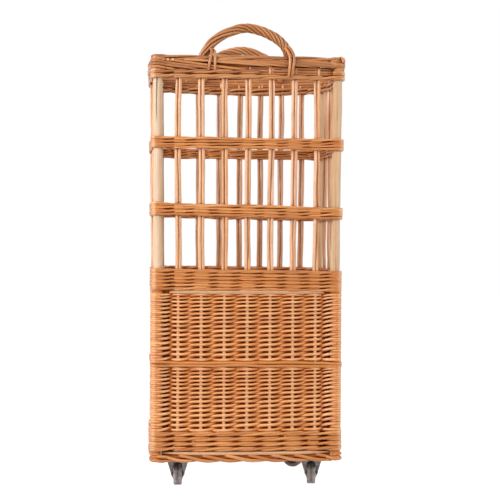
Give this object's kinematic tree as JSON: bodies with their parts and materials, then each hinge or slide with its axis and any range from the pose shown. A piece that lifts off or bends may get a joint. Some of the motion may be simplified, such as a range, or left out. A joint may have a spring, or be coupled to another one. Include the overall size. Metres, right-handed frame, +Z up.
{
  "type": "baguette basket on castors",
  "caption": "Tall rectangular wicker baguette basket: woven lower body, open staked upper part with bands and a thick rim, roped handles, raised bread floor, swivel castors.",
  "frame": {"origin": "on the ground under the middle of the basket, where the four wheels stand", "axes": "+Z up, +X to the right of someone facing the front, the front facing -Y"},
  "size_m": [0.42, 0.312, 0.9629],
  "materials": {
    "willow_weave": "satin buff willow",
    "willow_stake": "satin buff willow, paler",
    "peeled_wood": "matt peeled wood",
    "plywood": "matt plywood",
    "zinc_steel": "zinc plated",
    "hub_plastic": "matt",
    "grey_rubber": "matt"
  },
  "bodies": {
    "basket": {"post_front_left": "peeled_wood", "post_front_right": "peeled_wood", "post_back_right": "peeled_wood", "post_back_left": "peeled_wood", "stake_front_1": "willow_stake", "stake_front_2": "willow_stake", "stake_front_3": "willow_stake", "stake_front_4": "willow_stake", "stake_front_5": "willow_stake", "stake_front_6": "willow_stake", "stake_front_7": "willow_stake", "stake_right_1": "willow_stake", "stake_right_2": "willow_stake", "stake_right_3": "willow_stake", "stake_right_4": "willow_stake", "stake_right_5": "willow_stake", "stake_back_1": "willow_stake", "stake_back_2": "willow_stake", "stake_back_3": "willow_stake", "stake_back_4": "willow_stake", "stake_back_5": "willow_stake", "stake_back_6": "willow_stake", "stake_back_7": "willow_stake", "stake_left_1": "willow_stake", "stake_left_2": "willow_stake", "stake_left_3": "willow_stake", "stake_left_4": "willow_stake", "stake_left_5": "willow_stake", "base_board": "plywood", "bread_floor": "plywood", "foot_border": "willow_weave", "upsett_wale": "willow_weave", "lower_siding": "willow_weave", "upper_siding": "willow_weave", "shoulder_wale": "willow_weave", "lower_band": "willow_weave", "upper_band": "willow_weave", "rim_border": "willow_weave", "front_handle": "willow_weave", "back_handle": "willow_weave", "castor_front_left_plate": "zinc_steel", "castor_front_right_plate": "zinc_steel", "castor_back_right_plate": "zinc_steel", "castor_back_left_plate": "zinc_steel"},
    "swivel_front_left": {"castor_front_left_fork": "zinc_steel", "castor_front_left_axle": "zinc_steel"},
    "swivel_front_right": {"castor_front_right_fork": "zinc_steel", "castor_front_right_axle": "zinc_steel"},
    "swivel_back_right": {"castor_back_right_fork": "zinc_steel", "castor_back_right_axle": "zinc_steel"},
    "swivel_back_left": {"castor_back_left_fork": "zinc_steel", "castor_back_left_axle": "zinc_steel"},
    "wheel_front_left": {"castor_front_left_hub": "hub_plastic", "castor_front_left_tyre": "grey_rubber"},
    "wheel_front_right": {"castor_front_right_hub": "hub_plastic", "castor_front_right_tyre": "grey_rubber"},
    "wheel_back_right": {"castor_back_right_hub": "hub_plastic", "castor_back_right_tyre": "grey_rubber"},
    "wheel_back_left": {"castor_back_left_hub": "hub_plastic", "castor_back_left_tyre": "grey_rubber"}
  },
  "joints": [
    {"name": "front_left_swivel", "type": "hinge", "parent": "basket", "child": "swivel_front_left", "pos_m": [-0.141, -0.091, 0.07], "axis": [0, 0, 1], "continuous": true},
    {"name": "front_right_swivel", "type": "hinge", "parent": "basket", "child": "swivel_front_right", "pos_m": [0.141, -0.091, 0.07], "axis": [0, 0, 1], "continuous": true},
    {"name": "back_right_swivel", "type": "hinge", "parent": "basket", "child": "swivel_back_right", "pos_m": [0.141, 0.091, 0.07], "axis": [0, 0, 1], "continuous": true},
    {"name": "back_left_swivel", "type": "hinge", "parent": "basket", "child": "swivel_back_left", "pos_m": [-0.141, 0.091, 0.07], "axis": [0, 0, 1], "continuous": true},
    {"name": "front_left_spin", "type": "hinge", "parent": "swivel_front_left", "child": "wheel_front_left", "pos_m": [-0.141, -0.071, 0.025], "axis": [-1, 0, 0], "continuous": true},
    {"name": "front_right_spin", "type": "hinge", "parent": "swivel_front_right", "child": "wheel_front_right", "pos_m": [0.14361, -0.07117, 0.025], "axis": [-0.9914, 0.1305, 0], "continuous": true},
    {"name": "back_right_spin", "type": "hinge", "parent": "swivel_back_right", "child": "wheel_back_right", "pos_m": [0.12318, 0.10008, 0.025], "axis": [-0.454, -0.891, 0], "continuous": true},
    {"name": "back_left_spin", "type": "hinge", "parent": "swivel_back_left", "child": "wheel_back_left", "pos_m": [-0.13961, 0.11095, 0.025], "axis": [-0.9976, 0.0698, 0], "continuous": true}
  ]
}
